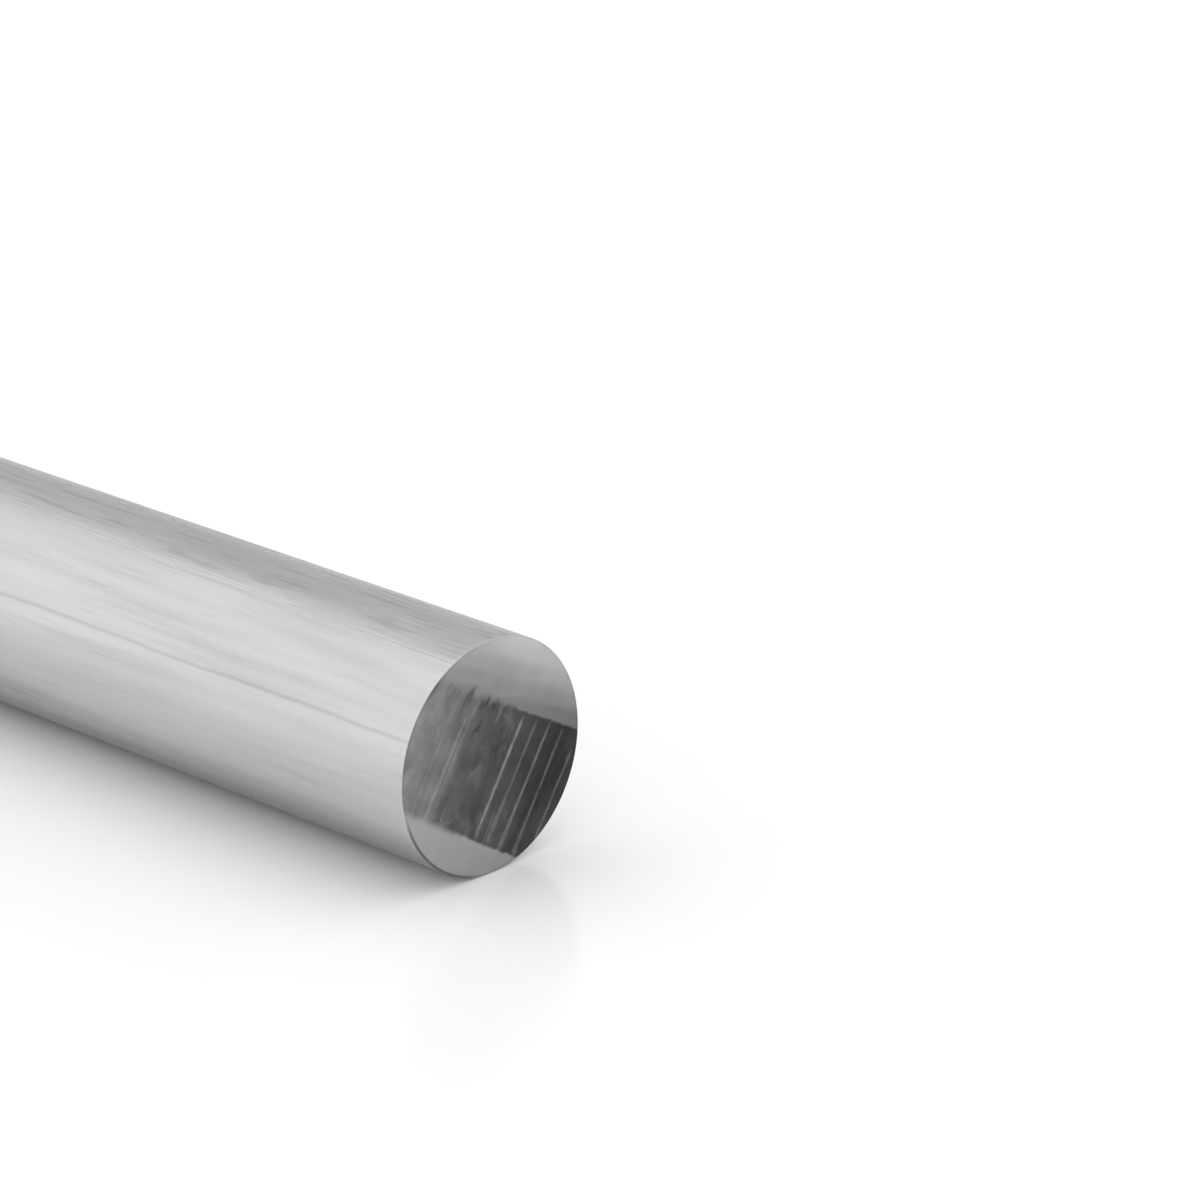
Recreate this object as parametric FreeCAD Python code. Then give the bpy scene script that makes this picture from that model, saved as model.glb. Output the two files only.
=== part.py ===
import FreeCAD, Part
import math
import os

# Round metal bar: one length of solid round stock, extruded in aluminium, sawn square
# at both ends and lying on its side.
# Millimetres. The bar runs along X, Z is up and the floor is z = 0. The origin is the
# point of the floor under the middle of the bar, on the line where the bar touches it.
# The end that shows its saw marks is the one at +X.

BAR_DIAMETER = 50.0
BAR_LENGTH = 1000.0
EDGE_BREAK = 0.3  # radius left on each sawn edge once its burr is filed off

OUTPUT_FOLDER = "parts"


def half_section(radius, length, edge):
    """Half of the bar's lengthwise section, from its axis out to its skin, as a face.

    The axis is the line y = 0. Both outer corners are rounded by a tangent arc.
    """
    end_x = length / 2
    skin_x = end_x - edge
    sawn_r = radius - edge
    mid_arc = math.pi / 4
    arc_x = skin_x + edge * math.sin(mid_arc)
    arc_r = sawn_r + edge * math.cos(mid_arc)

    def point(x, r):
        return FreeCAD.Vector(x, r, 0)

    curves = [
        Part.LineSegment(point(-end_x, 0), point(end_x, 0)),
        Part.LineSegment(point(end_x, 0), point(end_x, sawn_r)),
        Part.Arc(point(end_x, sawn_r), point(arc_x, arc_r), point(skin_x, radius)),
        Part.LineSegment(point(skin_x, radius), point(-skin_x, radius)),
        Part.Arc(point(-skin_x, radius), point(-arc_x, arc_r), point(-end_x, sawn_r)),
        Part.LineSegment(point(-end_x, sawn_r), point(-end_x, 0)),
    ]
    outline = Part.Wire([curve.toShape() for curve in curves])
    return Part.Face(outline)


def round_bar(diameter, length, edge):
    """The bar as one solid: its half section turned about its own axis, set on the floor."""
    axis_point = FreeCAD.Vector(0, 0, 0)
    axis = FreeCAD.Vector(1, 0, 0)
    full_turn = 360
    solid = half_section(diameter / 2, length, edge).revolve(axis_point, axis, full_turn)
    solid.translate(FreeCAD.Vector(0, 0, diameter / 2))
    return solid


def main():
    """Builds the bar and writes it to its own file."""
    os.makedirs(OUTPUT_FOLDER, exist_ok=True)
    bar = round_bar(BAR_DIAMETER, BAR_LENGTH, EDGE_BREAK)
    bar.exportStep(os.path.join(OUTPUT_FOLDER, "round_bar.step"))


main()
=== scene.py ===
"""Looks of a round metal bar: solid aluminium stock with an extruded skin and sawn ends."""

import logging
import math
from dataclasses import dataclass, replace
from enum import Enum
from typing import Any, Iterator, Sequence

import bpy
import numpy as np
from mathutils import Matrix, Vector


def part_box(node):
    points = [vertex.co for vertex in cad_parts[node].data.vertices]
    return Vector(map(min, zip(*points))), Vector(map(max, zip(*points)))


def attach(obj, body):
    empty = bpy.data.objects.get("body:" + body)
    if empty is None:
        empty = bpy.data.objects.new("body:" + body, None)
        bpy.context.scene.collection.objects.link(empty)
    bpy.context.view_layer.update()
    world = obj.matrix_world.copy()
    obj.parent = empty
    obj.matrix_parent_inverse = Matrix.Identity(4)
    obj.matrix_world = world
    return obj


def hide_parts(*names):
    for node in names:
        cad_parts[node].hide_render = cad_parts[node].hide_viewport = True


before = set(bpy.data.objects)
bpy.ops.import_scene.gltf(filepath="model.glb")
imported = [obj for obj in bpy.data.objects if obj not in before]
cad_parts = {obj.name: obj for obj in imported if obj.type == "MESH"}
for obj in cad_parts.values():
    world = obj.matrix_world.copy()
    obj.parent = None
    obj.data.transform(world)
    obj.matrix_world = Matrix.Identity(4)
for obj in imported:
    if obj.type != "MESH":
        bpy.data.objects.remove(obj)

MM = 0.001
NODE = "round_bar"
BODY = "root"
SLOT = "extruded_aluminium"
BAKE_MAP = "OFBake"  # the UV map that the materials can be baked onto
SEED_STEPS = (3.7, 1.0, -1.0)  # how far a seed moves its noise along each axis

Span = tuple[float, float]  # where a soft step is 0, and where it is 1

log = logging.getLogger("round_bar")


class Value:
    """A number, vector or colour on its way through a node tree."""

    def __init__(self, nodes: "Nodes", socket: bpy.types.NodeSocket | None) -> None:
        """Wraps one output socket of a tree, or none where the node has no output."""
        self.nodes = nodes
        self.socket = socket

    def __add__(self, other: "Number") -> "Value":
        """The sum of two numbers."""
        return self.nodes.math("ADD", self, other)

    def __radd__(self, other: "Number") -> "Value":
        """The sum of two numbers, the plain one first."""
        return self.nodes.math("ADD", other, self)

    def __sub__(self, other: "Number") -> "Value":
        """The difference of two numbers."""
        return self.nodes.math("SUBTRACT", self, other)

    def __rsub__(self, other: "Number") -> "Value":
        """The difference of two numbers, the plain one first."""
        return self.nodes.math("SUBTRACT", other, self)

    def __mul__(self, other: "Number") -> "Value":
        """The product of two numbers."""
        return self.nodes.math("MULTIPLY", self, other)

    def __rmul__(self, other: "Number") -> "Value":
        """The product of two numbers, the plain one first."""
        return self.nodes.math("MULTIPLY", other, self)

    def __truediv__(self, other: "Number") -> "Value":
        """The quotient of two numbers."""
        return self.nodes.math("DIVIDE", self, other)

    def __abs__(self) -> "Value":
        """The number without its sign."""
        return self.nodes.math("ABSOLUTE", self)

    def plus(self, other: "Number", times: "Number") -> "Value":
        """This number plus another one times a factor, in one node."""
        return self.nodes.math("MULTIPLY_ADD", other, times, self)

    def step(self, start: float, end: float) -> "Value":
        """A soft step, which rises or falls with this number.

        Args:
            start: the number where it is 0.
            end: the number where it is 1, above start or below it.

        Returns:
            The step, from 0 to 1.
        """
        rise = {"From Min": start, "From Max": end, "To Min": 0.0, "To Max": 1.0}
        if start > end:
            rise = {"From Min": end, "From Max": start, "To Min": 1.0, "To Max": 0.0}
        settings = {"interpolation_type": "SMOOTHSTEP"}
        return self.nodes.add("ShaderNodeMapRange", settings, {"Value": self, **rise}, "Result")

    def towards(self, other: "Number", share: "Number") -> "Value":
        """This number where share is 0, and the other one where it is 1."""
        return self.plus(other - self, share)

    def scaled(self, scale: Sequence[float], offset: Sequence[float] = (0.0, 0.0, 0.0)) -> "Value":
        """This vector times a scale, plus an offset."""
        values = {0: self, 1: tuple(scale), 2: tuple(offset)}
        return self.nodes.add("ShaderNodeVectorMath", {"operation": "MULTIPLY_ADD"}, values)

    def dot(self, x: float, y: float, z: float) -> "Value":
        """How far this vector reaches along a plain one."""
        settings = {"operation": "DOT_PRODUCT"}
        return self.nodes.add("ShaderNodeVectorMath", settings, {0: self, 1: (x, y, z)}, "Value")

    def size(self) -> "Value":
        """How long this vector is."""
        return self.nodes.add("ShaderNodeVectorMath", {"operation": "LENGTH"}, {0: self}, "Value")


Number = Value | float


@dataclass(frozen=True)
class Grain:
    """A pattern of smooth noise.

    Scale is how many blobs it has to a unit along each axis. Seed tells it from the other
    patterns, and detail is how many finer layers it has.
    """

    scale: tuple[float, float, float]
    seed: float
    detail: float = 2.0

    @classmethod
    def on_skin(cls, length: float, width: float, seed: float, detail: float = 2.0) -> "Grain":
        """A pattern with streaks that long along the bar and that wide round it, in metres."""
        return cls((1 / length, 1 / width, 1 / width), seed, detail)

    @classmethod
    def on_end(cls, across: float, along: float, seed: float, detail: float = 2.0) -> "Grain":
        """A pattern with so many blobs to a radius across the saw marks, and along them."""
        return cls((across, along, 1.0), seed, detail)

    def shift(self) -> tuple[float, ...]:
        """Where the pattern starts, apart from those of other seeds."""
        return tuple(self.seed * step for step in SEED_STEPS)


class Nodes:
    """Adds nodes to one tree, of a material, of the world or of a mesh."""

    def __init__(self, tree: bpy.types.NodeTree) -> None:
        """Starts the tree empty."""
        self.tree = tree
        tree.nodes.clear()

    def add(
        self,
        kind: str,
        settings: dict[str, Any] | None = None,
        values: dict[str | int, Any] | None = None,
        output: str | int = 0,
    ) -> Value:
        """Adds a node of any kind.

        Args:
            kind: the node's type.
            settings: its own properties, set before its sockets. Stops are those of its ramp,
                as pairs of a place and a grey.
            values: numbers, tuples or Values for its input sockets, by name or place.
            output: the output that is wanted, by name or place.

        Returns:
            The wanted output.
        """
        node = self.tree.nodes.new(kind)
        for name, setting in (settings or {}).items():
            if name == "stops":
                self._set_stops(node.color_ramp, setting)
            else:
                setattr(node, name, setting)
        for key, value in (values or {}).items():
            self._feed(node.inputs[key], value)
        return Value(self, node.outputs[output] if len(node.outputs) else None)

    def _feed(self, socket: bpy.types.NodeSocket, value: Any) -> None:
        """Fills one input socket.

        Args:
            socket: the socket.
            value: a Value that it is linked to, or a plain value that it is set to.
        """
        if isinstance(value, Value):
            self.tree.links.new(value.socket, socket)
        else:
            socket.default_value = value

    def _set_stops(self, ramp: bpy.types.ColorRamp, stops: Sequence[tuple[float, float]]) -> None:
        """Gives a ramp its stops.

        Args:
            ramp: the ramp, which has two stops when it is new.
            stops: each stop's place and grey, from 0 to 1.
        """
        while len(ramp.elements) < len(stops):
            ramp.elements.new(1.0)
        for element, (place, grey) in zip(ramp.elements, stops):
            element.position = place
            element.color = (grey, grey, grey, 1.0)

    def math(self, operation: str, *numbers: Number) -> Value:
        """One Math node on up to three numbers."""
        return self.add("ShaderNodeMath", {"operation": operation}, dict(enumerate(numbers)))

    def total(self, start: Number, *terms: tuple[Value, float]) -> Number:
        """Adds numbers up, each times its own factor.

        Args:
            start: what the rest is added to.
            terms: each number with its factor. A factor of 0 adds no node.

        Returns:
            The sum.
        """
        for number, factor in terms:
            if factor != 0.0:
                start = self.math("MULTIPLY_ADD", number, factor, start)
        return start

    def join(self, x: Number, y: Number, z: Number) -> Value:
        """A vector of three numbers."""
        return self.add("ShaderNodeCombineXYZ", None, {0: x, 1: y, 2: z})

    def split(self, vector: Value) -> tuple[Value, ...]:
        """The three numbers of a vector."""
        first = self.add("ShaderNodeSeparateXYZ", None, {0: vector})
        return tuple(Value(self, output) for output in first.socket.node.outputs)

    def noise(self, at: Value, grain: Grain) -> Value:
        """Smooth noise from about -1 to 1.

        Args:
            at: where it is read, as a vector.
            grain: its pattern.

        Returns:
            The noise.
        """
        values = {
            "Vector": at.scaled(grain.scale, grain.shift()),
            "Scale": 1.0,
            "Detail": grain.detail,
            "Roughness": 0.5,
        }
        raw = self.add("ShaderNodeTexNoise", {"noise_dimensions": "3D", "normalize": True}, values)
        reach = 1.3  # over 1, because the raw noise stays well inside its own limits, 0 and 1
        return self.math("MULTIPLY_ADD", raw, 2 * reach, -reach)

    def grey(self, number: Value) -> Value:
        """A grey of that brightness, as a colour."""
        return self.add("ShaderNodeCombineColor", None, {0: number, 1: number, 2: number})


class BarEnd(Enum):
    """The two sawn ends, each with the sign of its place along X."""

    MARKED = 1.0
    PLAIN = -1.0


@dataclass(frozen=True)
class Face:
    """A point of a sawn end inside a tree, in radii: across its saw marks, and along them.

    Flat is the same point as a vector.
    """

    nodes: Nodes
    across: Value
    along: Value
    flat: Value

    def noise(self, grain: Grain) -> Value:
        """Noise of that pattern on the end."""
        return self.nodes.noise(self.flat, grain)


@dataclass(frozen=True)
class Place:
    """A point of the bar inside a tree, in metres.

    Spot is its vector from the middle of the bar's axis, and x how far it lies along the bar.
    End_x is the x of the marked end, and radius is the bar's own.
    """

    nodes: Nodes
    spot: Value
    x: Value
    end_x: float
    radius: float

    def noise(self, grain: Grain) -> Value:
        """Noise of that pattern at this point."""
        return self.nodes.noise(self.spot, grain)

    def outwards(self, degrees: float) -> Value:
        """How far out of the axis it lies towards a side, in degrees from the top to the front."""
        angle = math.radians(degrees)
        return self.spot.dot(0.0, -math.sin(angle), math.cos(angle))

    def near_end(self, far: float, near: float) -> Value:
        """0 farther than far from the nearer end of the bar, and 1 nearer to it than near."""
        return abs(self.x).step(self.end_x - far, self.end_x - near)

    def at_end(self, end: BarEnd) -> Value:
        """1 at the wanted end of the bar, 0 at the other one."""
        return (self.x * end.value).step(0.0, self.radius)

    def face(self, turn: float) -> Face:
        """This point as seen on a sawn end.

        Args:
            turn: how many degrees the saw marks lean from upright towards the back.

        Returns:
            The point, across the saw marks and along them.
        """
        angle = math.radians(turn)
        cosine, sine = math.cos(angle) / self.radius, math.sin(angle) / self.radius
        across = self.spot.dot(0.0, cosine, -sine)
        along = self.spot.dot(0.0, sine, cosine)
        return Face(self.nodes, across, along, self.nodes.join(across, along, 0.0))


@dataclass(frozen=True)
class Layers:
    """What a finish gives the shader: its tone, its roughness, and its relief in metres."""

    tone: Value
    roughness: Value
    relief: Value

    def towards(self, other: "Layers", share: Value) -> "Layers":
        """These layers where share is 0, and the other ones where it is 1."""
        return Layers(
            self.tone.towards(other.tone, share),
            self.roughness.towards(other.roughness, share),
            self.relief.towards(other.relief, share),
        )


@dataclass(frozen=True)
class DieLine:
    """A fine line that a nick in the die draws along the whole bar.

    Degrees count from straight up towards the front, at the marked end. Light is how much paler
    the line makes the skin, below 0 where it is darker, and wander how far it strays to each side.
    Kept is the share of its length that shows, and slant is how far it turns towards the front
    for each length towards that end.
    """

    degrees: float
    width: float
    depth: float
    light: float
    wander: float
    kept: float = 1.0
    slant: float = 0.0

    def line(self, at: Place, drift: Number, wear: Value, widen: float = 1.0) -> Value:
        """Where the line shows.

        Args:
            at: the place on the bar.
            drift: noise that it wanders by.
            wear: noise that it is worn away by.
            widen: a factor on its width.

        Returns:
            1 along its middle, falling to 0 at its sides and where it is worn away.
        """
        half = self.width * widen / 2
        sideways = at.outwards(self.degrees - 90.0)
        if self.slant:
            sideways = sideways.plus(at.x - at.end_x, self.slant)
        on_side = at.outwards(self.degrees).step(0.0, half)
        line = abs(sideways.plus(drift, -self.wander)).step(half, 0.0) * on_side
        if self.kept < 1.0:
            reach = 0.4  # most of the noise lies between -reach and reach
            fade = 0.25
            worn = reach - 2 * reach * self.kept
            line = line * wear.step(worn, worn + fade)
        return line


@dataclass(frozen=True)
class Streaks:
    """Short rubs along the bar, scattered over the skin.

    They show where their grain's noise passes through the span. Light is how much paler they make
    the skin, below 0 where they are darker. Where reach is given, they lie only within so many
    degrees of the side at facing.
    """

    grain: Grain
    span: Span
    light: float
    facing: float = 0.0
    reach: float = 180.0

    def cover(self, at: Place) -> Value:
        """Where the streaks show.

        Args:
            at: the place on the bar.

        Returns:
            1 on the streaks, 0 between them.
        """
        cover = at.noise(self.grain).step(*self.span)
        if self.reach < 180.0:
            soften = 8.0  # degrees, to each side of the reach
            outer = at.radius * math.cos(math.radians(self.reach + soften))
            inner = at.radius * math.cos(math.radians(self.reach - soften))
            cover = cover * at.outwards(self.facing).step(outer, inner)
        return cover


@dataclass(frozen=True)
class Cloud:
    """A soft change of the skin along the bar, and how much it adds to each layer."""

    grain: Grain
    tone: float
    roughness: float = 0.0
    relief: float = 0.0


@dataclass(frozen=True)
class SkinFinish:
    """The extruded skin: pale matte grey with soft streaks and fine lines along the bar.

    Tint is the share of the light that the skin keeps at a glancing angle. What the lines and
    streaks make darker also gets rougher, and lies deeper. Drift and wear are what the lines
    stray and are worn away by, and groove_widen is how much wider they are cut in the mesh.
    """

    tone: float = 0.53
    tint: float = 0.75
    roughness: float = 0.30
    rougher: float = 0.4
    deeper: float = 0.004 * MM
    groove_widen: float = 1.5
    drift: Grain = Grain.on_skin(20 * MM, 24 * MM, 12.0, 1.5)
    wear: Grain = Grain.on_skin(40 * MM, 5 * MM, 14.0)
    die_lines: tuple[DieLine, ...] = (
        DieLine(66.9, 1.30 * MM, 0.005 * MM, -0.14, 0.45 * MM),
        DieLine(23.4, 0.60 * MM, 0.0, 0.13, 0.12 * MM, kept=0.80, slant=0.016),
        DieLine(25.7, 0.56 * MM, 0.0, 0.11, 0.12 * MM, kept=0.75, slant=0.016),
        DieLine(28.0, 0.80 * MM, 0.0, -0.07, 0.40 * MM, kept=0.45, slant=0.016),
        DieLine(49.5, 2.40 * MM, 0.002 * MM, -0.06, 1.20 * MM, kept=0.75),
        DieLine(-32.0, 0.90 * MM, 0.0, -0.12, 0.50 * MM),
        DieLine(-96.0, 1.20 * MM, 0.005 * MM, -0.16, 0.70 * MM),
        DieLine(-141.0, 0.70 * MM, 0.0, -0.12, 0.50 * MM),
        DieLine(118.0, 0.80 * MM, 0.0, -0.07, 0.60 * MM, kept=0.6),
        DieLine(163.0, 1.00 * MM, 0.004 * MM, -0.12, 0.60 * MM),
    )
    streaks: tuple[Streaks, ...] = (
        Streaks(Grain.on_skin(16 * MM, 0.80 * MM, 3.0), (0.25, 0.75), -0.090),
        Streaks(Grain.on_skin(12 * MM, 0.60 * MM, 6.0), (0.35, 0.80), 0.060),
        Streaks(Grain.on_skin(45 * MM, 2.60 * MM, 8.0), (0.05, 0.65), -0.060),
        Streaks(Grain.on_skin(18 * MM, 1.30 * MM, 21.0), (0.05, 0.50), -0.190, facing=-6.0, reach=26.0),
        Streaks(Grain.on_skin(12 * MM, 0.70 * MM, 22.0), (0.15, 0.60), 0.110, facing=-4.0, reach=28.0),
    )
    clouds: tuple[Cloud, ...] = (
        Cloud(Grain.on_skin(80 * MM, 12 * MM, 1.0, 1.0), tone=0.09, relief=0.10 * MM),
        Cloud(Grain.on_skin(60 * MM, 2.8 * MM, 2.0), tone=0.11, roughness=0.03, relief=0.015 * MM),
        Cloud(Grain.on_skin(90 * MM, 0.40 * MM, 4.0, 0.0), tone=0.025),
    )

    def layers(self, at: Place) -> Layers:
        """The layers of the skin.

        Args:
            at: the place on the bar.

        Returns:
            Its tone, roughness and relief there.
        """
        scores: Number = 0.0
        for streaks in self.streaks:
            scores = streaks.cover(at) * streaks.light + scores
        drift, wear = at.noise(self.drift), at.noise(self.wear)
        for die_line in self.die_lines:
            scores = die_line.line(at, drift, wear) * die_line.light + scores
        tone = 1.0 + scores
        rough = self.roughness - scores * self.rougher
        relief = scores * self.deeper
        for cloud in self.clouds:
            noise = at.noise(cloud.grain)
            tone = at.nodes.total(tone, (noise, cloud.tone))
            rough = at.nodes.total(rough, (noise, cloud.roughness))
            relief = at.nodes.total(relief, (noise, cloud.relief))
        return Layers(tone * self.tone, rough, relief)

    def groove_depth(self, at: Place) -> Number:
        """How deep the mesh lies under the skin in the wider die lines, which run straight there.

        Args:
            at: the place on the bar.

        Returns:
            The depth in metres.
        """
        wear = at.noise(self.wear)
        depth: Number = 0.0
        for die_line in self.die_lines:
            if die_line.depth > 0.0:
                depth = die_line.line(at, 0.0, wear, self.groove_widen) * die_line.depth + depth
        return depth


@dataclass(frozen=True)
class SawnNoise:
    """The noises that the tones of a sawn end share.

    Scratch and smear run along the saw marks, blotch lies all over, sweep runs across the marks,
    and fingers are the short strokes that the band's upper edge breaks up into.
    """

    scratch: Value
    smear: Value
    blotch: Value
    sweep: Value
    fingers: Value


@dataclass(frozen=True)
class SawMark:
    """A light score across a sawn end, left by a tooth that stood out of its row.

    Places are in radii: across counts sideways to the marks, low and high along them. Lean is how
    far it leans across for each radius along, and spread is how much wider it is at its low end.
    """

    across: float
    low: float
    high: float
    width: float
    light: float
    lean: float = 0.0
    spread: float = 0.0

    def line(self, face: Face, frayed: Value, widen: float = 1.0) -> Value:
        """Where the mark shows.

        Args:
            face: the place on the end.
            frayed: noise that its sides are frayed by.
            widen: a factor on its width.

        Returns:
            1 along its middle, falling to 0 at its sides and ends.
        """
        core = 0.05  # the share of its width that shows in full
        fade, flare = 0.05, 0.5  # how many radii its ends fade over, and its low end widens over
        half = self.width * widen / 2
        off = abs((face.across - self.across).plus(face.along, -self.lean)) / half
        if self.spread > 0.0:
            off = off / face.along.step(self.low + flare, self.low).plus(1.0, 1.0)
        line = (off + frayed).step(1.0, core)
        low_end = face.along.step(self.low - fade, self.low + fade)
        high_end = face.along.step(self.high + fade, self.high - fade)
        return line * low_end * high_end


@dataclass(frozen=True)
class Patch:
    """A soft light or dark patch on the rubbed band, in radii as the saw marks are."""

    across: float
    along: float
    width: float
    height: float
    light: float

    def cover(self, warped: Value) -> Value:
        """Where the patch shows.

        Args:
            warped: the place on the end as a vector, with its outlines made uneven.

        Returns:
            1 in its middle, falling to 0 at its rim.
        """
        core = 0.3  # the share of its radius that shows in full
        wide, high = self.width / 2, self.height / 2
        middle = (-self.across / wide, -self.along / high, 0.0)
        return warped.scaled((1 / wide, 1 / high, 0.0), middle).size().step(1.0, core)


@dataclass(frozen=True)
class SawnTone:
    """The tone of one zone of a sawn end, and what its place and the noises add to it.

    Across is for each radius across the saw marks. Climb and curve are for each radius and its
    square above climb_from.
    """

    level: float
    scratch: float = 0.0
    smear: float = 0.0
    sweep: float = 0.0
    across: float = 0.0
    climb: float = 0.0
    curve: float = 0.0
    climb_from: float = 0.5

    def tone(self, face: Face, noise: SawnNoise) -> Value:
        """The zone's tone.

        Args:
            face: the place on the end.
            noise: the noises of the end.

        Returns:
            The tone there.
        """
        level: Number = self.level
        if self.climb:
            up = face.along - self.climb_from
            level = self.level + up * (self.climb + up * self.curve)
        return face.nodes.total(
            level,
            (face.across, self.across),
            (noise.scratch, self.scratch),
            (noise.sweep, self.sweep),
            (noise.smear, self.smear),
        )


@dataclass(frozen=True)
class BandEdge:
    """A long edge of the rubbed band, in radii.

    Along is where it crosses the middle of the end, and slope how far it climbs for each radius
    across. Fray is how far its fingers reach, and torn how much farther on the torn side.
    """

    along: float
    slope: float
    fray: float
    torn: float = 0.0

    def line(self, face: Face, fingers: Value, torn_side: Value) -> Value:
        """How far along the saw marks the edge lies.

        Args:
            face: the place on the end.
            fingers: noise that the edge is frayed by.
            torn_side: 1 on the torn side of the end, 0 on the other one.

        Returns:
            Its place along the marks.
        """
        fray = face.nodes.total(self.fray, (torn_side, self.torn))
        return (self.along + face.across * self.slope).plus(fingers, fray)


@dataclass(frozen=True)
class PaintedReflectionBand:
    """The darker band across the marked end, its dark tone a painted reflection of something dark.

    Places are in radii. Tones are its greys by their place across. Down its low end it gets
    paler, most on its dark side. Under its torn edge it has dark strokes, where the fingers' noise
    passes through stroke_span. Blotch, smear and scratch are how much those noises change it.
    """

    low: BandEdge = BandEdge(-0.673, 0.02, 0.016)
    high: BandEdge = BandEdge(0.430, 0.075, 0.010, torn=0.110)
    torn_side: Span = (0.20, -0.30)
    blur: float = 0.014
    torn_blur: float = 0.028
    depth: float = 0.02 * MM
    tones: tuple[tuple[float, float], ...] = (
        (-0.95, 0.240),
        (-0.74, 0.210),
        (-0.62, 0.172),
        (-0.42, 0.158),
        (-0.32, 0.105),
        (0.00, 0.082),
        (0.32, 0.064),
        (0.62, 0.035),
        (0.94, 0.047),
    )
    low_end: Span = (0.05, -0.60)
    low_light: float = 0.15
    dark_side: Span = (0.0, 0.5)
    dark_side_light: float = 0.55
    patches: tuple[Patch, ...] = (
        Patch(-0.30, 0.36, 0.34, 0.18, -0.048),
        Patch(-0.28, 0.10, 0.09, 0.28, -0.036),
        Patch(0.04, 0.14, 0.32, 0.24, -0.026),
        Patch(0.06, -0.42, 0.28, 0.40, -0.022),
        Patch(-0.10, -0.19, 0.20, 0.24, 0.040),
        Patch(-0.13, 0.03, 0.10, 0.24, 0.022),
        Patch(0.02, 0.34, 0.30, 0.14, 0.034),
        Patch(-0.43, 0.38, 0.11, 0.20, 0.060),
        Patch(-0.56, 0.20, 0.16, 0.50, -0.022),
        Patch(-0.74, 0.28, 0.14, 0.40, -0.020),
        Patch(-0.74, -0.05, 0.10, 0.50, -0.020),
        Patch(-0.08, -0.62, 0.60, 0.12, 0.028),
        Patch(0.82, 0.16, 0.20, 0.50, -0.012),
    )
    warp_across: float = 0.16
    warp_along: float = 0.20
    stroke_span: Span = (0.0, 0.45)
    stroke_along: Span = (0.12, 0.36)
    stroke_across: Span = (0.0, -0.2)
    stroke_shade: float = 0.28
    blotch: float = 0.36
    smear: float = 0.20
    scratch: float = 0.05

    def cover(self, face: Face, fingers: Value) -> Value:
        """Where the band lies.

        Args:
            face: the place on the end.
            fingers: noise that its edges are frayed by.

        Returns:
            1 on the band, 0 beside it.
        """
        torn_side = face.across.step(*self.torn_side)
        blur = torn_side * self.torn_blur + self.blur
        above_low = face.along - self.low.line(face, fingers, torn_side)
        below_high = self.high.line(face, fingers, torn_side) - face.along
        return (above_low / blur).step(-1.0, 1.0) * (below_high / blur).step(-1.0, 1.0)

    def tone(self, face: Face, noise: SawnNoise) -> Value:
        """The band's tone, without the saw marks.

        Args:
            face: the place on the end.
            noise: the noises of the end.

        Returns:
            The tone there.
        """
        across, along = face.across, face.along
        paler = self.low_light + across.step(*self.dark_side) * self.dark_side_light
        tone = self._ramp(face) * (1.0 + along.step(*self.low_end) * paler)
        warped_along = along.plus(noise.smear, self.warp_along).plus(noise.blotch, -self.warp_along)
        warped = face.nodes.join(across.plus(noise.blotch, self.warp_across), warped_along, 0.0)
        for patch in self.patches:
            tone = tone.plus(patch.cover(warped), patch.light)
        strokes = noise.fingers.step(*self.stroke_span)
        strokes = strokes * along.step(*self.stroke_along) * across.step(*self.stroke_across)
        tone = tone * (1.0 - strokes * self.stroke_shade)
        uneven = (1.0 + noise.blotch * self.blotch).plus(noise.smear, self.smear)
        return tone * uneven.plus(noise.scratch, self.scratch)

    def _ramp(self, face: Face) -> Value:
        """The band's greys across the end.

        Args:
            face: the place on the end.

        Returns:
            The grey there.
        """
        def share(across: Number) -> Number:
            """A place across as a ramp counts it, from 0 at -1 to 1 at 1."""
            return across * 0.5 + 0.5

        stops = tuple((share(across), grey) for across, grey in self.tones)
        ramp = face.nodes.add("ShaderNodeValToRGB", {"stops": stops}, {0: share(face.across)})
        return face.nodes.add("ShaderNodeRGBToBW", None, {0: ramp})


@dataclass(frozen=True)
class Rim:
    """The darker rim of a sawn end: painted shade all round, which dims the edge's highlight, and the
    burr's painted shadow, darkest on one side.

    Shade is how much darker it is all round, and the burr's shadow how much more on its side, which
    faces so many degrees from the top, and towards which its span counts in radii. Inside counts
    from the skin inwards, and behind from the end along the bar.
    """

    shade: float = 0.10
    burr_shadow: float = 0.50
    burr_shadow_facing: float = 137.84
    burr_shadow_from: Span = (0.8014, 0.9417)
    inside: Span = (0.70 * MM, 0.35 * MM)
    behind: Span = (0.35 * MM, 0.20 * MM)

    def darker(self, at: Place) -> Value:
        """How much darker the rim makes the bar.

        Args:
            at: the place on the bar.

        Returns:
            The share of its tone that it loses, 0 away from the rim.
        """
        from_axis = at.spot.scaled((0.0, 1.0, 1.0)).size()
        outer, inner = self.inside
        on_rim = from_axis.step(at.radius - outer, at.radius - inner) * at.near_end(*self.behind)
        shadow_start, shadow_end = self.burr_shadow_from
        # worn: where the burr's painted shadow falls, on one side of the rim
        worn = at.outwards(self.burr_shadow_facing).step(shadow_start * at.radius, shadow_end * at.radius)
        return on_rim * (worn * self.burr_shadow + self.shade)


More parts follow.
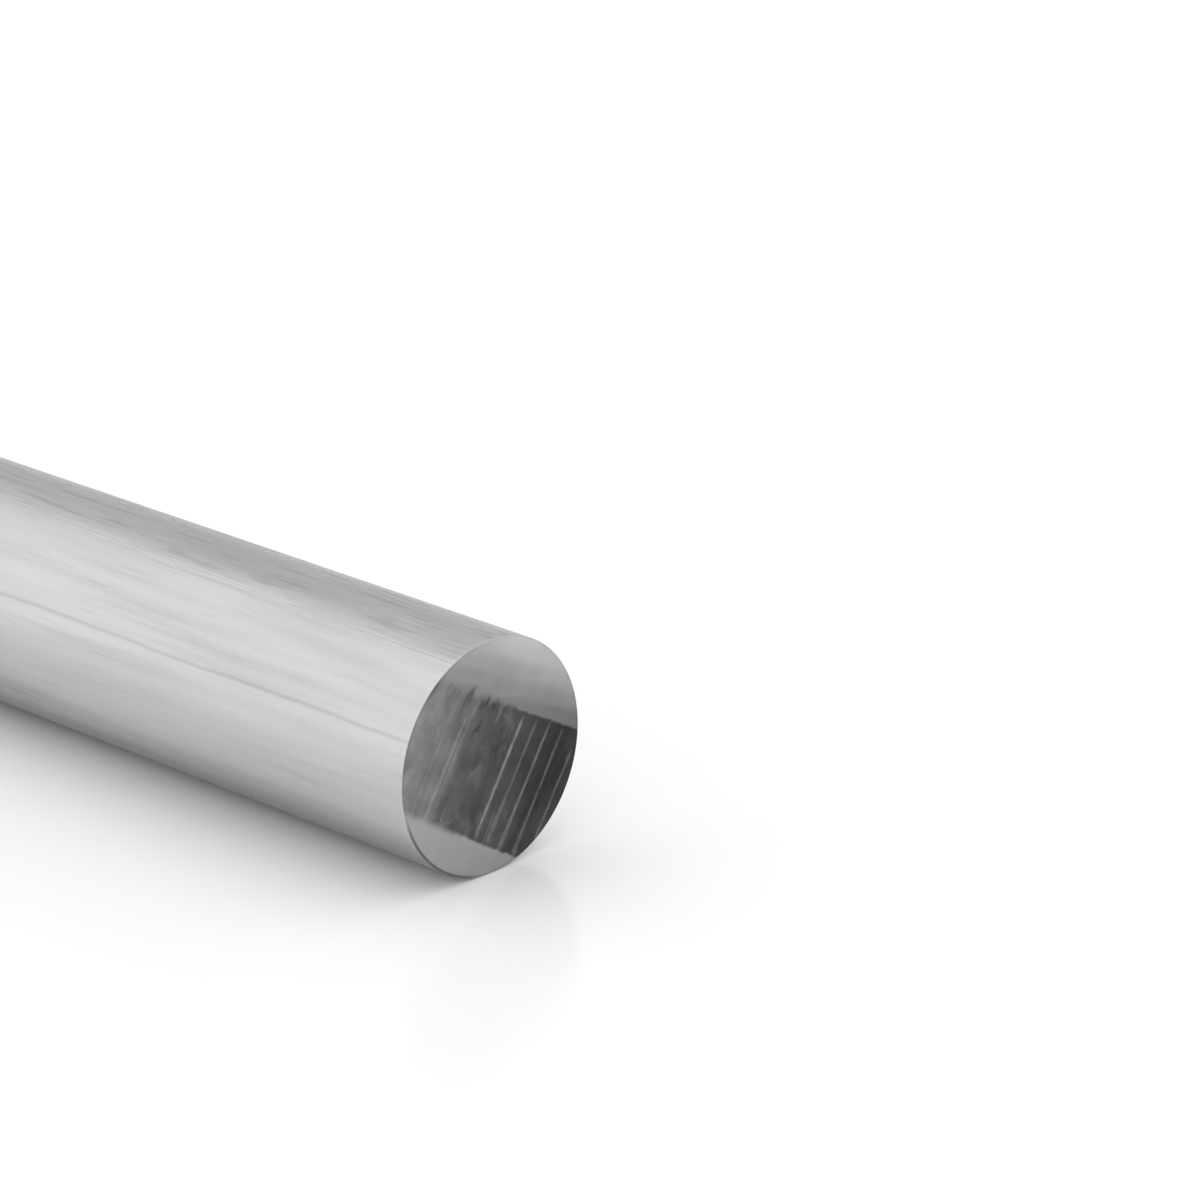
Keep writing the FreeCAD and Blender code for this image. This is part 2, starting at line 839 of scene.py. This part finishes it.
@dataclass(frozen=True)
class SawnFinish:
    """A sawn end: matte grey crossed by saw marks, with a darker band of painted reflection.

    Turn is how many degrees the saw marks lean from upright towards the back. The marks and the
    band are on the marked end alone. Reach is how far behind the end the finish starts, and where
    it is full. A relief is the shader's, and a depth the mesh's. The marks lose light in gaps.
    """

    turn: float = 33.0
    reach: Span = (0.26 * MM, 0.10 * MM)
    roughness: float = 0.42
    scratch_roughness: float = 0.03
    band_roughness: float = -0.04
    scratch_relief: float = 0.0025 * MM
    band_relief: float = -0.01 * MM
    mark_relief: float = -0.06 * MM
    mark_depth: float = 0.03 * MM
    mark_widen: float = 1.3
    wave_depth: float = 0.008 * MM
    sweep_slant: float = -0.18
    plain: SawnTone = SawnTone(0.415, scratch=0.03, smear=0.022)
    # above climbs paler towards the top of the end: a painted gradient of light
    above: SawnTone = SawnTone(0.232, smear=0.014, sweep=0.055, across=-0.08, climb=0.42, curve=0.48)
    below: SawnTone = SawnTone(0.372, scratch=0.008, smear=0.014, across=-0.03)
    below_from: Span = (-0.5, -0.7)
    band: PaintedReflectionBand = PaintedReflectionBand()
    rim: Rim = Rim()
    waver: Grain = Grain.on_end(9.0, 2.5, 2.0)
    frayed: Grain = Grain.on_end(40.0, 14.0, 3.0)
    fingers: Grain = Grain.on_end(12.0, 2.6, 4.0)
    waves: Grain = Grain.on_end(7.0, 0.35, 5.0, 1.0)
    scratch: Grain = Grain.on_end(34.0, 1.6, 7.0)
    smear: Grain = Grain.on_end(7.0, 1.1, 8.0)
    blotch: Grain = Grain.on_end(7.0, 5.0, 9.0, 4.0)
    sweep: Grain = Grain.on_end(1.3, 8.0, 11.0)
    gaps: Grain = Grain.on_end(12.0, 6.0, 15.0)
    gap_span: Span = (-0.9, 0.5)
    gap_light: float = 0.35
    marks: tuple[SawMark, ...] = (
        SawMark(-0.640, -0.70, 0.32, 0.042, 0.045, lean=0.010),
        SawMark(-0.470, -0.70, 0.20, 0.050, 0.092, lean=0.008),
        SawMark(-0.415, -0.40, 0.24, 0.034, 0.042),
        SawMark(-0.290, -0.66, -0.54, 0.042, 0.048),
        SawMark(-0.114, 0.27, 0.42, 0.046, 0.085),
        SawMark(0.176, -0.62, 0.37, 0.055, 0.190, lean=-0.008),
        SawMark(0.343, -0.64, 0.40, 0.044, 0.080, lean=0.004, spread=1.4),
        SawMark(0.290, -0.70, -0.42, 0.040, 0.050),
        SawMark(0.508, -0.66, 0.45, 0.048, 0.118, lean=0.004, spread=1.3),
        SawMark(0.688, -0.66, 0.44, 0.046, 0.094, lean=-0.006, spread=0.3),
        SawMark(0.882, -0.46, 0.30, 0.044, 0.086, lean=0.004),
    )

    def lines(self, face: Face, widen: float = 1.0) -> Iterator[tuple[SawMark, Value]]:
        """The saw marks.

        Args:
            face: the place on the end.
            widen: a factor on their widths.

        Yields:
            Each mark, with where it shows.
        """
        waver, frayed = 0.008, 0.3  # the first in radii, the second in half widths of a mark
        wavering = replace(face, across=face.across.plus(face.noise(self.waver), waver))
        fraying = face.noise(self.frayed) * frayed
        for mark in self.marks:
            yield mark, mark.line(wavering, fraying, widen)

    def cut_depth(self, at: Place) -> Value:
        """How deep the mesh lies under the ends.

        Args:
            at: the place on the bar.

        Returns:
            The depth in metres.
        """
        face = at.face(self.turn)
        depth = self.band.cover(face, face.noise(self.fingers)) * self.band.depth
        for _, line in self.lines(face, self.mark_widen):
            depth = depth.plus(line, self.mark_depth)
        lowest = 1.5  # a little more than the noise reaches, so that the waves stay inside the bar
        return depth * at.at_end(BarEnd.MARKED) + (face.noise(self.waves) + lowest) * self.wave_depth

    def layers(self, at: Place) -> Layers:
        """The layers of the sawn ends.

        Args:
            at: the place on the bar.

        Returns:
            Their tone, roughness and relief there.
        """
        face = at.face(self.turn)
        swept = face.nodes.join(face.across, face.along.plus(face.across, self.sweep_slant), 0.0)
        noise = SawnNoise(
            face.noise(self.scratch),
            face.noise(self.smear),
            face.noise(self.blotch),
            face.nodes.noise(swept, self.sweep),
            face.noise(self.fingers),
        )
        above, below = self.above.tone(face, noise), self.below.tone(face, noise)
        beside = above.towards(below, face.along.step(*self.below_from))
        scores: Number = 0.0
        for mark, line in self.lines(face):
            scores = line * mark.light + scores
        kept = face.noise(self.gaps).step(*self.gap_span) * (1 - self.gap_light) + self.gap_light
        scores = scores * kept
        band = self.band.cover(face, noise.fingers)
        # the band's tone, with its patches and strokes, is a painted reflection of something dark
        painted_reflection = self.band.tone(face, noise) + scores
        marked = at.at_end(BarEnd.MARKED)
        tone = self.plain.tone(face, noise).towards(beside.towards(painted_reflection, band), marked)
        rough = self.roughness + noise.scratch * self.scratch_roughness
        relief = (scores * self.mark_relief).plus(band, self.band_relief) * marked
        return Layers(
            tone,
            rough.plus(band, self.band_roughness),
            relief.plus(noise.scratch, self.scratch_relief),
        )


@dataclass
class RoundBar:
    """The bar: its mesh, its bake map and its material.

    The mesh is a cube's grid bent round, so it has no poles. Rings and columns count the lines of
    that grid, along the bar and to a side of its section. Each broken edge takes edge_steps rings,
    and one more ends the collar beside it. Cut_from is the share of a sawn face's width inside
    which it is cut. Sheet_width and gap are shares of the bake map.
    """

    columns: int = 161
    rings: int = 41
    edge_steps: float = 4.0
    edge_break: float = 0.3 * MM
    collar: float = 1.0 * MM
    cut_from: float = 0.985
    sheet_width: float = 0.74
    gap: float = 0.004
    skin: SkinFinish = SkinFinish()
    sawn: SawnFinish = SawnFinish()

    def __post_init__(self) -> None:
        """Reads the bar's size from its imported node."""
        low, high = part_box(NODE)
        self.length = high.x - low.x
        self.radius = (high.y - low.y) / 2
        self.axis_height = self.radius

    def build(self) -> bpy.types.Object:
        """Makes the bar, with its bake map and its material.

        Returns:
            The bar's object.
        """
        inputs = {
            "Length": self.length,
            "Radius": self.radius,
            "Edge Break": self.edge_break,
            "Collar": self.collar,
            "Rings": self.rings,
            "Columns": self.columns,
            "Finish": self.material(),
        }
        mesh = self._plain_mesh(self._tree(inputs), inputs)
        self._lay_out_map(mesh)
        bar = bpy.data.objects.new("bar_body", mesh)
        bpy.context.scene.collection.objects.link(bar)
        return bar

    def _tree(self, inputs: dict[str, Any]) -> bpy.types.NodeTree:
        """The node tree that makes the bar's mesh.

        Args:
            inputs: its inputs by name.

        Returns:
            The tree.
        """
        tree = bpy.data.node_groups.new("sawn_round_bar", "GeometryNodeTree")
        nodes = Nodes(tree)
        kinds = {int: "NodeSocketInt", float: "NodeSocketFloat"}
        for name, value in inputs.items():
            kind = kinds.get(type(value), "NodeSocketMaterial")
            tree.interface.new_socket(name=name, in_out="INPUT", socket_type=kind)
        tree.interface.new_socket(name="Mesh", in_out="OUTPUT", socket_type="NodeSocketGeometry")
        group = nodes.add("NodeGroupInput").socket.node
        given = {name: Value(nodes, group.outputs[name]) for name in inputs}
        mesh = self._shape(nodes, given)
        mesh = nodes.add("GeometryNodeSetShadeSmooth", None, {"Geometry": mesh})
        mesh = nodes.add("GeometryNodeRealizeInstances", None, {"Geometry": mesh})
        finished = {"Geometry": mesh, "Material": given["Finish"]}
        nodes.add("NodeGroupOutput", None, {0: nodes.add("GeometryNodeSetMaterial", None, finished)})
        return tree

    def _plain_mesh(self, tree: bpy.types.NodeTree, inputs: dict[str, Any]) -> bpy.types.Mesh:
        """The mesh that a node tree makes, on its own.

        Args:
            tree: the tree.
            inputs: its inputs by name.

        Returns:
            The mesh.
        """
        maker = bpy.data.objects.new("bar_maker", bpy.data.meshes.new("bar_maker"))
        bpy.context.scene.collection.objects.link(maker)
        modifier = maker.modifiers.new("sawn round bar", "NODES")
        modifier.node_group = tree
        for item in tree.interface.items_tree:
            if item.in_out == "INPUT":
                modifier[item.identifier] = inputs[item.name]
        bpy.context.view_layer.update()
        evaluated = maker.evaluated_get(bpy.context.evaluated_depsgraph_get())
        mesh = bpy.data.meshes.new_from_object(evaluated)
        bpy.data.objects.remove(maker)
        mesh.materials.pop(index=0)  # the empty slot that the tree's cube starts with
        mesh.name = "bar_body"
        return mesh

    def _shape(self, nodes: Nodes, given: dict[str, Value]) -> Value:
        """A cube grid bent to a round bar with broken edges, die lines and saw marks.

        Args:
            nodes: the tree that it is added to.
            given: the tree's inputs by name.

        Returns:
            The mesh.
        """
        counts = {
            "Vertices X": given["Rings"],
            "Vertices Y": given["Columns"],
            "Vertices Z": given["Columns"],
        }
        cube = nodes.add("GeometryNodeMeshCube", None, {"Size": (2.0, 2.0, 2.0), **counts})
        x, y, z = nodes.split(nodes.add("GeometryNodeInputPosition"))
        half_rings = (given["Rings"] - 1.0) / 2.0
        from_end = (1.0 - abs(x)) * half_rings
        reach, shell = self._lengthways(nodes, given, from_end, half_rings)
        section = nodes.math("MAXIMUM", abs(y), abs(z))
        round_y, round_z = self._rounded(nodes, y, z, shell)

        sign = nodes.math("SIGN", x)
        along = reach * sign
        spot = nodes.join(along, round_y, round_z)
        at = Place(nodes, spot, along, self.length / 2, self.radius)
        half_ring = 0.5
        on_side = from_end.step(self.edge_steps - half_ring, self.edge_steps + half_ring)
        shrink = 1.0 - self.skin.groove_depth(at) * on_side / given["Radius"]
        on_face = section.step(1.0, self.cut_from) * from_end.step(half_ring, 0.0)
        cut = self.sawn.cut_depth(at) * on_face
        place = nodes.join(along - sign * cut, round_y * shrink, round_z * shrink + given["Radius"])
        return nodes.add("GeometryNodeSetPosition", None, {"Geometry": cube, "Position": place})

    def _lengthways(
        self, nodes: Nodes, given: dict[str, Value], from_end: Value, half_rings: Value
    ) -> tuple[Value, Value]:
        """Where the rings lie, close together on the broken edges.

        Args:
            nodes: the tree that they are added to.
            given: the tree's inputs by name.
            from_end: how many rings lie between this one and the end.
            half_rings: how many lie between the end and the middle of the bar.

        Returns:
            How far from the middle of the bar a ring lies, and its radius.
        """
        edge = given["Edge Break"]
        quarter = nodes.math("MINIMUM", from_end / self.edge_steps, 1.0) * (math.pi / 2)
        run_steps = from_end - self.edge_steps
        on_collar = nodes.add("ShaderNodeClamp", None, {0: run_steps})
        later_share = (run_steps - 1.0) / (half_rings - self.edge_steps - 1.0)
        after_collar = nodes.add("ShaderNodeClamp", None, {0: later_share})
        edge_start = given["Length"] / 2.0 - edge
        to_middle = edge_start - given["Collar"]
        run = on_collar * given["Collar"] + after_collar * to_middle
        reach = edge_start + edge * nodes.math("COSINE", quarter) - run
        shell = given["Radius"] - edge + edge * nodes.math("SINE", quarter)
        return reach, shell

    def _rounded(self, nodes: Nodes, y: Value, z: Value, shell: Value) -> tuple[Value, Value]:
        """A square section bent to a round one, and turned to its saw marks.

        Args:
            nodes: the tree that it is added to.
            y: the place on the square section, from -1 to 1.
            z: the same, upwards.
            shell: the radius that the square's outline gets.

        Returns:
            The place on the round section, from its middle.
        """
        large = nodes.math("MAXIMUM", abs(y), abs(z))
        small = nodes.math("MINIMUM", abs(y), abs(z))
        offset = small / large * (math.pi / 4)
        major = nodes.math("COSINE", offset) * large * shell
        minor = nodes.math("SINE", offset) * large * shell
        y_leads = nodes.math("GREATER_THAN", abs(y), abs(z))
        round_y = minor.towards(major, y_leads) * nodes.math("SIGN", y)
        round_z = major.towards(minor, y_leads) * nodes.math("SIGN", z)
        turn = math.radians(self.sawn.turn)
        turned_y = round_y * math.cos(turn) + round_z * math.sin(turn)
        turned_z = round_z * math.cos(turn) - round_y * math.sin(turn)
        return turned_y, turned_z

    def material(self) -> bpy.types.Material:
        """The bar's finish, on Object coordinates: the skin, and the two sawn ends.

        Returns:
            The material.
        """
        finish = bpy.data.materials.new(SLOT)
        finish.use_nodes = True
        nodes = Nodes(finish.node_tree)
        here = nodes.add("ShaderNodeTexCoord", None, None, "Object")
        spot = here.scaled((1.0, 1.0, 1.0), (0.0, 0.0, -self.axis_height))
        at = Place(nodes, spot, spot.dot(1.0, 0.0, 0.0), self.length / 2, self.radius)
        on_end = at.near_end(*self.sawn.reach)
        layers = self.skin.layers(at).towards(self.sawn.layers(at), on_end)
        # the rim's painted shade and the burr's painted shadow darken the tone
        tone = layers.tone * (1.0 - self.sawn.rim.darker(at))
        heights = {"Strength": 1.0, "Distance": 1.0, "Height": layers.relief}
        tint = self.skin.tint
        values = {
            "Base Color": nodes.grey(tone),
            "Roughness": layers.roughness,
            "Metallic": 1.0,
            "Specular Tint": (tint, tint, tint, 1.0),
            "Normal": nodes.add("ShaderNodeBump", None, heights),
        }
        shader = nodes.add("ShaderNodeBsdfPrincipled", None, values)
        nodes.add("ShaderNodeOutputMaterial", None, {"Surface": shader})
        return finish

    def _lay_out_map(self, mesh: bpy.types.Mesh) -> None:
        """Lays the bar out on the bake map: the skin as one sheet, with the two ends beside it.

        Args:
            mesh: the bar's mesh. Each of its faces has four corners.
        """
        vertices = np.empty(len(mesh.loops), np.int32)
        mesh.loops.foreach_get("vertex_index", vertices)
        places = np.empty(len(mesh.vertices) * 3, np.float32)
        mesh.vertices.foreach_get("co", places)
        places = places.reshape(-1, 3).astype(float)
        places[:, 2] -= self.axis_height
        corners = places[vertices].reshape(-1, 4, 3)
        centres = corners.mean(1)
        cut_room, slack = 0.1 * MM, 0.01 * MM  # the cuts lie no deeper than cut_room
        is_flat = np.hypot(centres[:, 1], centres[:, 2]) < self.radius - self.edge_break - slack
        on_map = self._skin_sheet(corners, centres)
        for end in BarEnd:
            on_end = is_flat & (centres[:, 0] * end.value > self.length / 2 - cut_room)
            on_map[on_end] = self._end_box(corners[on_end], end)
        layer = mesh.uv_layers.new(name=BAKE_MAP)
        layer.uv.foreach_set("vector", on_map.astype(np.float32).ravel())

    def _skin_sheet(self, corners: np.ndarray, centres: np.ndarray) -> np.ndarray:
        """The skin as one sheet, whose seam runs under the bar.

        Args:
            corners: the places of each face's corners, from the middle of the bar's axis.
            centres: the middle of each face.

        Returns:
            The corners' places on the map.
        """
        full_turn = 2 * math.pi
        turn = np.arctan2(-corners[..., 1], corners[..., 2])
        middle_turn = np.arctan2(-centres[:, 1], centres[:, 2])[:, None]
        turn = middle_turn + (turn - middle_turn + math.pi) % full_turn - math.pi
        u = self.gap + (self.sheet_width - 2 * self.gap) * (turn / full_turn + 0.5)
        v = self.gap + (1 - 2 * self.gap) * (corners[..., 0] / self.length + 0.5)
        return np.stack([u, v], -1)

    def _end_box(self, corners: np.ndarray, end: BarEnd) -> np.ndarray:
        """A sawn end in its own box, turned so that its saw marks run the short way.

        Args:
            corners: the places of each face's corners, from the middle of the bar's axis.
            end: the end that they lie on.

        Returns:
            The corners' places on the map.
        """
        angle = math.radians(self.sawn.turn)
        y, z = corners[..., 1], corners[..., 2]
        across = (y * math.cos(angle) - z * math.sin(angle)) / self.radius
        along = (y * math.sin(angle) + z * math.cos(angle)) / self.radius
        half_width, half_height = (1 - self.sheet_width) / 2, 0.25
        u = self.sheet_width + half_width + along * (half_width - self.gap)
        v = 0.5 + end.value * (half_height + across * (half_height - self.gap))
        return np.stack([u, v], -1)


@dataclass(frozen=True)
class PhotoView:
    """The camera, placed from the middle of the bar's marked end, in radii of the bar."""

    azimuth: float = 43.217
    elevation: float = 20.532
    offset: tuple[float, float, float] = (25.645, -26.037, 15.019)
    lens: float = 148.8
    sensor: float = 36.0
    nearest: float = 0.01
    farthest: float = 100.0

    def place(self, bar: RoundBar) -> None:
        """Makes the camera and gives it to the scene.

        Args:
            bar: the bar that it looks at.
        """
        data = bpy.data.cameras.new("view")
        data.lens = self.lens
        data.sensor_width = self.sensor
        data.sensor_fit = "HORIZONTAL"
        data.clip_start = self.nearest
        data.clip_end = self.farthest
        camera = bpy.data.objects.new("view", data)
        end = Vector((bar.length / 2, 0.0, bar.axis_height))
        camera.location = end + Vector(self.offset) * bar.radius
        around, up = math.radians(self.azimuth), math.radians(self.elevation)
        out = math.cos(up)
        back = Vector((math.sin(around) * out, -math.cos(around) * out, math.sin(up)))
        camera.rotation_mode = "QUATERNION"
        camera.rotation_quaternion = (-back).to_track_quat("-Z", "Y")
        bpy.context.scene.collection.objects.link(camera)
        bpy.context.scene.camera = camera


@dataclass(frozen=True)
class FloorPaint:
    """The floor's finish: white, and glossy enough for a faint mirror image."""

    tone: float = 0.94
    roughness: float = 0.16
    ior: float = 1.45

    def material(self) -> bpy.types.Material:
        """Makes the paint.

        Returns:
            The material.
        """
        paint = bpy.data.materials.new("floor_paint")
        paint.use_nodes = True
        nodes = Nodes(paint.node_tree)
        colour = (self.tone, self.tone, self.tone, 1.0)
        values = {"Base Color": colour, "Roughness": self.roughness, "IOR": self.ior}
        shader = nodes.add("ShaderNodeBsdfPrincipled", None, values)
        nodes.add("ShaderNodeOutputMaterial", None, {"Surface": shader})
        return paint


@dataclass(frozen=True)
class Floor:
    """A round sheet whose rim bends up into a low wall, far away.

    The rim stays low in a gap, so that the side of the bar mirrors the light there. Degrees count
    from +X towards +Y. Gap_fade is how many degrees the rim takes to rise beside the gap, and
    gap_rise the share of its height that it keeps in it.
    """

    radius: float = 9.0
    bend: float = 2.0
    bend_steps: int = 12
    sides: int = 96
    gap_facing: float = 225.0
    gap_width: float = 80.0
    gap_fade: float = 15.0
    gap_rise: float = 0.05
    paint: FloorPaint = FloorPaint()

    def build(self) -> None:
        """Makes the floor."""
        points, faces = self._sheet()
        mesh = bpy.data.meshes.new("floor")
        mesh.from_pydata(points, [], faces)
        mesh.shade_smooth()
        mesh.materials.append(self.paint.material())
        floor = bpy.data.objects.new("floor", mesh)
        bpy.context.scene.collection.objects.link(floor)

    def _sheet(self) -> tuple[list[tuple[float, ...]], list[tuple[int, ...]]]:
        """The floor's grid.

        Returns:
            Its points and its faces.
        """
        level = self.radius - self.bend
        profile = [(level, 0.0)]
        for step in range(1, self.bend_steps + 1):
            angle = math.pi / 2 * step / self.bend_steps
            profile.append((level + self.bend * math.sin(angle), self.bend * (1 - math.cos(angle))))
        points: list[tuple[float, ...]] = [(0.0, 0.0, 0.0)]
        for out, up in profile:
            for side in range(self.sides):
                angle = 2 * math.pi * side / self.sides
                rise = up * self._rim_share(math.degrees(angle))
                points.append((out * math.cos(angle), out * math.sin(angle), rise))
        faces: list[tuple[int, ...]] = []
        for side in range(self.sides):
            after = (side + 1) % self.sides
            faces.append((0, 1 + side, 1 + after))
            for ring in range(len(profile) - 1):
                low, high = 1 + ring * self.sides, 1 + (ring + 1) * self.sides
                faces.append((low + side, high + side, high + after, low + after))
        return points, faces

    def _rim_share(self, degrees: float) -> float:
        """The share of its height that the rim keeps on that side."""
        off = abs((degrees - self.gap_facing + 180) % 360 - 180)
        return min(max((off - self.gap_width / 2) / self.gap_fade, self.gap_rise), 1.0)


@dataclass(frozen=True)
class SoftLight:
    """Soft light from all round, in four zones of the world, each with its own strength.

    The left, which the side of the bar mirrors, is bright in front and dim behind. The right is
    the other way round, and dimmer near the horizon. Tilt is how many degrees the border between
    the left's zones leans back. The left front starts with the far_left share of its strength,
    and gains inner_gain towards the middle.
    """

    left_front: float = 1.26
    left_back: float = 0.795
    right_front: float = 1.00
    right_back: float = 1.28
    horizon: float = 0.78
    upward_gain: float = 1.5
    tilt: float = 14.0
    far_left: float = 0.97
    inner_gain: float = 0.12
    inner_x: Span = (-0.80, -0.55)
    left_x: Span = (-0.22, -0.42)
    left_front_from: Span = (-0.42, 0.26)
    right_front_y: Span = (0.25, -0.25)

    def build(self) -> None:
        """Makes the world."""
        world = bpy.data.worlds.new("studio")
        bpy.context.scene.world = world
        world.use_nodes = True
        nodes = Nodes(world.node_tree)
        x, y, z = nodes.split(nodes.add("ShaderNodeTexCoord", None, None, "Generated"))
        lean = math.radians(self.tilt)
        to_front = z * math.sin(lean) - y * math.cos(lean)
        left_front = self.left_front * (self.far_left + x.step(*self.inner_x) * self.inner_gain)
        left = self.left_back + (left_front - self.left_back) * to_front.step(*self.left_front_from)
        right_rise = self.right_front - self.right_back
        right = self.right_back + right_rise * y.step(*self.right_front_y)
        right = right * (self.horizon + z * (1 - self.horizon) * self.upward_gain)
        strength = right.towards(left, x.step(*self.left_x))
        values = {"Color": (1.0, 1.0, 1.0, 1.0), "Strength": strength}
        shader = nodes.add("ShaderNodeBackground", None, values)
        nodes.add("ShaderNodeOutputWorld", None, {"Surface": shader})


@dataclass(frozen=True)
class Studio:
    """What the bar is shown in: a pale floor under soft light."""

    floor: Floor = Floor()
    light: SoftLight = SoftLight()

    def build(self) -> None:
        """Makes the floor and the light, and shows their tones as they are."""
        self.floor.build()
        self.light.build()
        bpy.context.scene.view_settings.view_transform = "Standard"


def main() -> None:
    """Builds the bar and its studio, and reports each piece."""
    logging.basicConfig(level=logging.INFO, format="%(name)s: %(message)s")
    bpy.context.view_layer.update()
    round_bar = RoundBar()
    bar = round_bar.build()
    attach(bar, BODY)
    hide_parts(NODE)
    log.info("%s: %d faces, rides on %s", bar.name, len(bar.data.polygons), BODY)
    Studio().build()
    PhotoView().place(round_bar)


if __name__ == "__main__":
    main()
